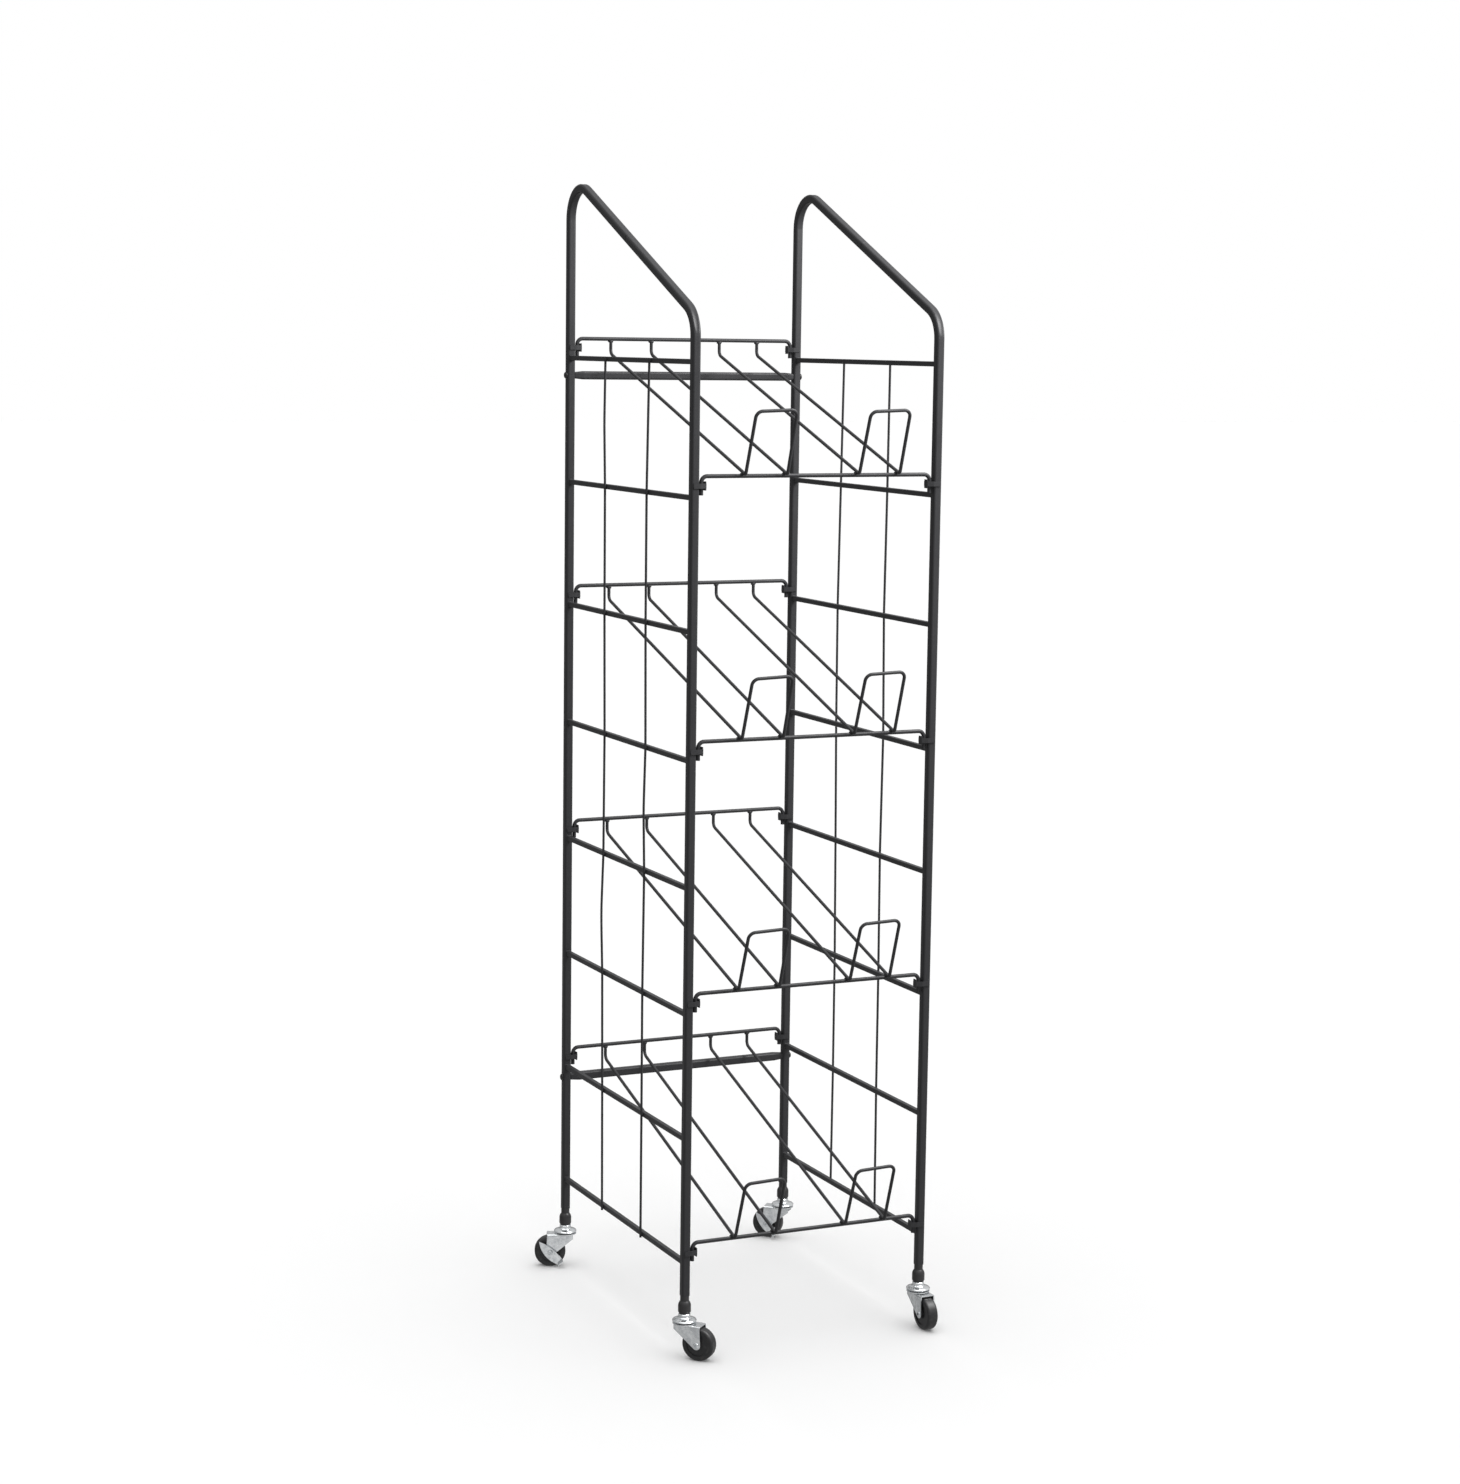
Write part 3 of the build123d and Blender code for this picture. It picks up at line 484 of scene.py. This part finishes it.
def key_light(details):
    """Softbox above the rack, in front at the right, kept off the floor so the floor stays even."""
    lamp = bpy.data.lights.new("key", "AREA")
    lamp.shape = "RECTANGLE"
    lamp.size, lamp.size_y = KEY_SIZE
    lamp.energy = KEY_POWER
    obj = bpy.data.objects.new("key", lamp)
    bpy.context.scene.collection.objects.link(obj)
    centre = (cad_low + cad_high) / 2
    obj.location = centre + Vector(KEY_OFFSET)
    obj.rotation_mode = "QUATERNION"
    obj.rotation_quaternion = Vector(KEY_OFFSET).to_track_quat("Z", "Y")
    lit = bpy.data.collections.new("lit_by_key")
    for obj_lit in [*NODES.values(), *details]:
        lit.objects.link(obj_lit)
    obj.light_linking.receiver_collection = lit


def lights(details):
    world_light()
    overhead_light()
    key_light(details)


def rack_middle():
    """Middle of the four posts at floor level, from the rungs between them."""
    left_low, left_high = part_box("left_rungs")
    right_low, right_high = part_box("right_rungs")
    across = (left_low.x + left_high.x + right_low.x + right_high.x) / 4
    return Vector((across, (left_low.y + left_high.y) / 2, 0.0))


def camera():
    data = bpy.data.cameras.new("camera")
    data.lens = LENS_MM
    data.sensor_width = SENSOR_MM
    data.clip_end = CAMERA_REACH
    obj = bpy.data.objects.new("camera", data)
    bpy.context.scene.collection.objects.link(obj)
    yaw, pitch, roll = (math.radians(a) for a in (CAMERA_YAW, CAMERA_PITCH, CAMERA_ROLL))
    ahead = Vector((math.sin(yaw) * math.cos(pitch), math.cos(yaw) * math.cos(pitch), -math.sin(pitch)))
    right = Vector((math.cos(yaw), -math.sin(yaw), 0.0))
    up = right.cross(ahead)
    tilted_right = right * math.cos(roll) + up * math.sin(roll)
    tilted_up = up * math.cos(roll) - right * math.sin(roll)
    turn = Matrix((tilted_right, tilted_up, -ahead)).transposed()
    obj.matrix_world = Matrix.Translation(rack_middle() + CAMERA_OFFSET) @ turn.to_4x4()
    bpy.context.scene.camera = obj


def tone():
    bpy.context.scene.view_settings.view_transform = "Standard"
    bpy.context.scene.view_settings.look = "None"


dress_cad_nodes()
floor()
lights(welds())
camera()
tone()
